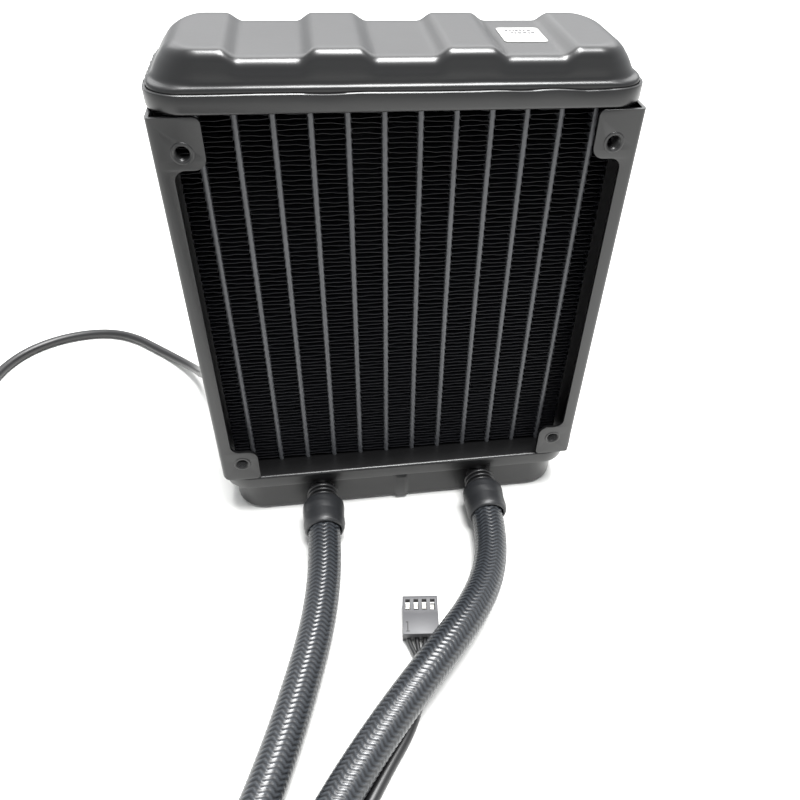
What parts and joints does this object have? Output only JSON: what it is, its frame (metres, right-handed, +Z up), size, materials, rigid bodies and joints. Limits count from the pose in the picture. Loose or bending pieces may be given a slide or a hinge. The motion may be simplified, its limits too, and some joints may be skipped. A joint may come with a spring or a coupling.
{
  "type": "liquid cooling radiator",
  "caption": "Closed-loop liquid cooling radiator with side frames and screw tabs, scalloped upper tank, rear fan, braided hoses and a pump head with a copper cold plate.",
  "frame": {"origin": "on the table under the centre of the radiator, at the flat underside of its lower tank", "axes": "+X right, +Y towards the fan at the back, +Z up; the hoses leave towards -Y"},
  "size_m": [0.254, 0.4124, 0.1516],
  "materials": {
    "black_enamelled_steel": "satin black enamel over pressed steel",
    "braided_hose": "rubber hose in a woven sleeve",
    "brazed_sheet": "brazed sheet",
    "circuit_board": "solder resist",
    "connector_nylon": "moulded nylon",
    "copper_plate": "lapped copper",
    "fan_blade_plastic": "moulded",
    "ferrite_magnet": "sintered",
    "glossy_cap": "polished",
    "ground_steel": "ground",
    "knurled_screw": "nickel, knurled",
    "label_paper": "white printed label",
    "lead_sleeve": "extruded jacket",
    "moulded_housing": "fine spark-eroded grain",
    "moulded_stub": "moulded",
    "plated_bracket": "black nickel",
    "plated_contact": "tin plate",
    "seal_rubber": "moulded",
    "shrink_collar": "heat-shrunk, satin",
    "sintered_bronze": "sintered",
    "sprayed_core": "thin sprayed black over tubes and fins",
    "wheel_plastic": "moulded",
    "wound_core": "enamelled wire on a steel core",
    "zinc_screw": "black zinc"
  },
  "bodies": {
    "radiator": {"cold_plate": "copper_plate", "cold_plate_screws": "zinc_screw", "coolant_tube_01": "sprayed_core", "coolant_tube_02": "sprayed_core", "coolant_tube_03": "sprayed_core", "coolant_tube_04": "sprayed_core", "coolant_tube_05": "sprayed_core", "coolant_tube_06": "sprayed_core", "coolant_tube_07": "sprayed_core", "coolant_tube_08": "sprayed_core", "coolant_tube_09": "sprayed_core", "coolant_tube_10": "sprayed_core", "coolant_tube_11": "sprayed_core", "coolant_tube_12": "sprayed_core", "cooling_fins": "sprayed_core", "core_side_plate_left": "black_enamelled_steel", "core_side_plate_right": "black_enamelled_steel", "fan_bearing": "sintered_bronze", "fan_circuit_board": "circuit_board", "fan_connector": "connector_nylon", "fan_frame": "moulded_housing", "fan_lead": "lead_sleeve", "fan_lead_coil": "lead_sleeve", "fan_lead_tail": "lead_sleeve", "fan_screws": "zinc_screw", "fan_stator": "wound_core", "hose_left": "braided_hose", "hose_right": "braided_hose", "housing_seal": "seal_rubber", "impeller_shaft": "ground_steel", "lower_header_plate": "black_enamelled_steel", "lower_tank": "black_enamelled_steel", "mounting_bracket": "plated_bracket", "pump_cap": "glossy_cap", "pump_circuit_board": "circuit_board", "pump_collar_left": "shrink_collar", "pump_collar_right": "shrink_collar", "pump_connector": "connector_nylon", "pump_connector_contacts": "plated_contact", "pump_housing": "moulded_housing", "pump_lead": "lead_sleeve", "pump_stator": "wound_core", "pump_stub_left": "moulded_stub", "pump_stub_right": "moulded_stub", "radiator_collar_left": "shrink_collar", "radiator_collar_right": "shrink_collar", "radiator_stub_left": "moulded_stub", "radiator_stub_right": "moulded_stub", "side_frame_left": "black_enamelled_steel", "side_frame_right": "black_enamelled_steel", "tank_divider": "brazed_sheet", "tank_label": "label_paper", "thumb_screws": "knurled_screw", "upper_header_plate": "black_enamelled_steel", "upper_tank": "black_enamelled_steel"},
    "fan_rotor": {"fan_rotor": "fan_blade_plastic", "fan_shaft": "ground_steel", "fan_magnet": "ferrite_magnet"},
    "pump_impeller": {"pump_impeller": "wheel_plastic"}
  },
  "joints": [
    {"name": "fan_spin", "type": "hinge", "parent": "radiator", "child": "fan_rotor", "pos_m": [0, 0.0315, 0.0775], "axis": [0, 1, 0], "continuous": true},
    {"name": "impeller_spin", "type": "hinge", "parent": "radiator", "child": "pump_impeller", "pos_m": [-0.108, -0.266, 0.009], "axis": [0, 0, 1], "continuous": true}
  ]
}
